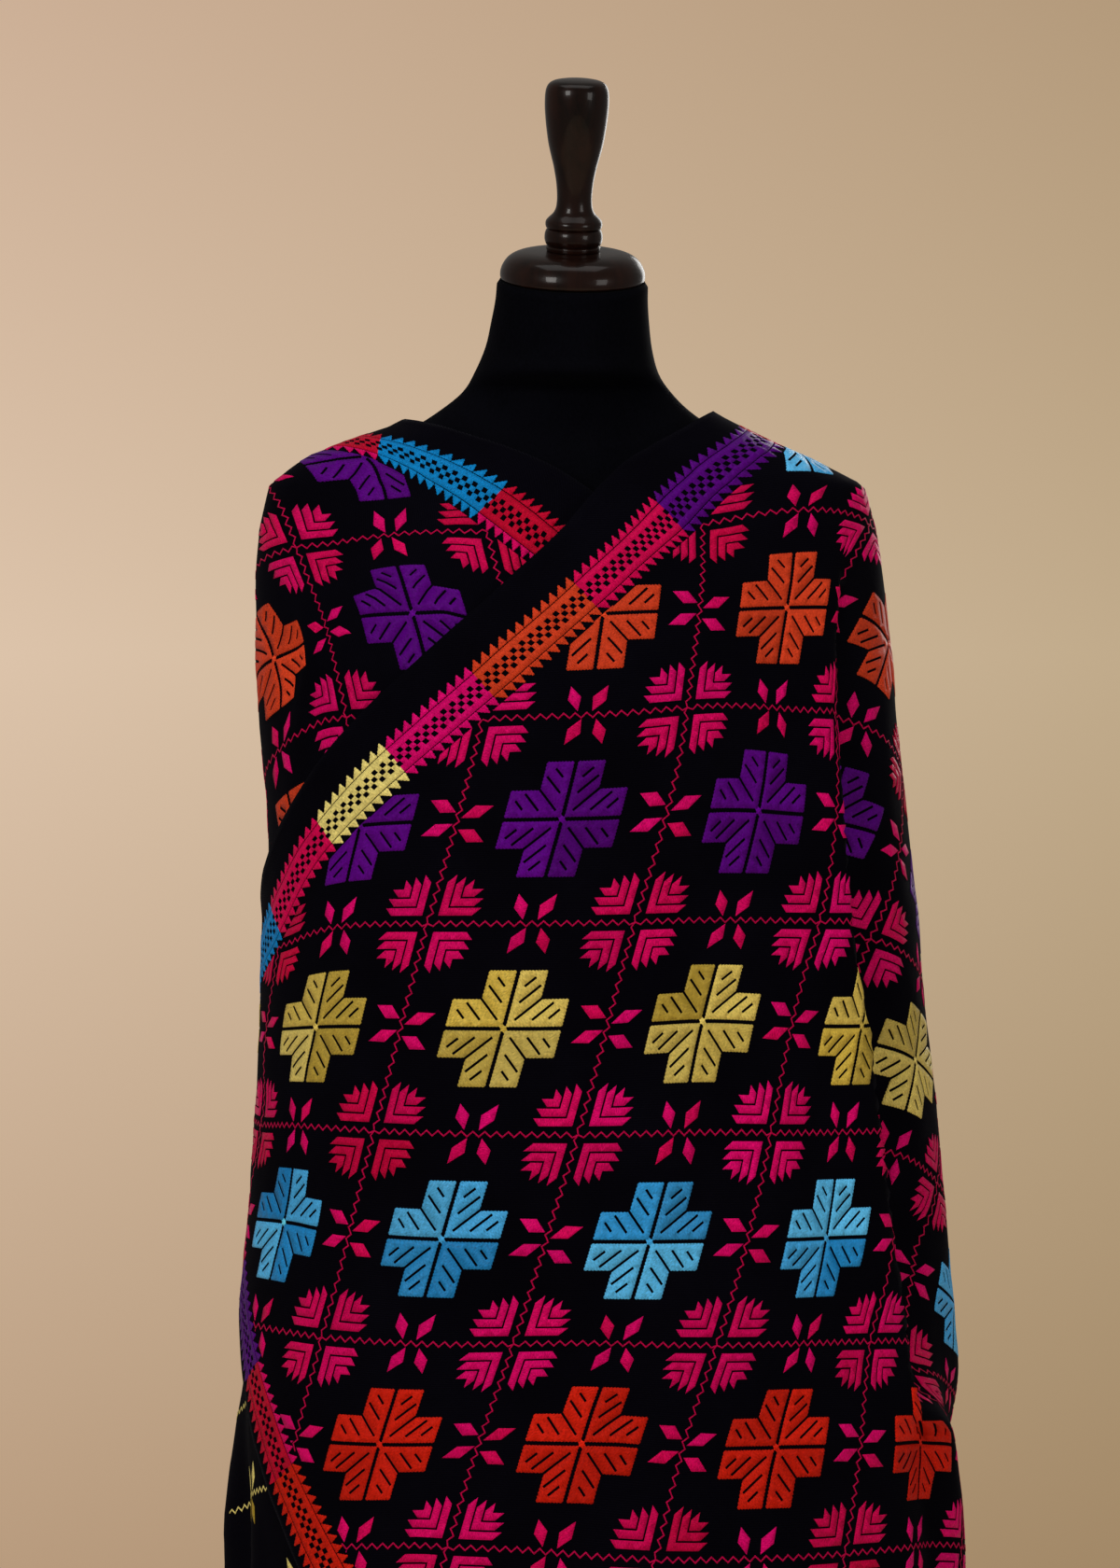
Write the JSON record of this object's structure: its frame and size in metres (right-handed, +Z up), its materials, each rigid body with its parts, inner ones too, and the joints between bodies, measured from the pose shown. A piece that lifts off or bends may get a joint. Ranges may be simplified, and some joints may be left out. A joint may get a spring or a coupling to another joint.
{
  "type": "phulkari shawl on dress form",
  "caption": "black woollen shawl embroidered with a phulkari lattice of chevrons and flowers, crossed over a limbless black dress form with wooden cap and finial on a round stand",
  "frame": {"origin": "centre of the stand's underside, on the floor", "axes": "+Z up along the pole, -Y is the way the form faces, +X is the right-hand side as one faces it"},
  "size_m": [0.541, 0.3894, 1.609],
  "materials": {
    "wool": "soft napped wool with silk-floss embroidery",
    "jersey": "matte stretch jersey",
    "dark_wood": "polished dark stain",
    "dark_metal": "satin black"
  },
  "bodies": {
    "root": {"shawl_over": "wool", "shawl_back": "wool", "shawl_under": "wool", "form_torso": "jersey", "form_neck_cap": "dark_wood", "form_finial": "dark_wood", "form_pole": "dark_metal", "form_collar": "dark_wood", "form_base": "dark_wood"}
  },
  "joints": []
}
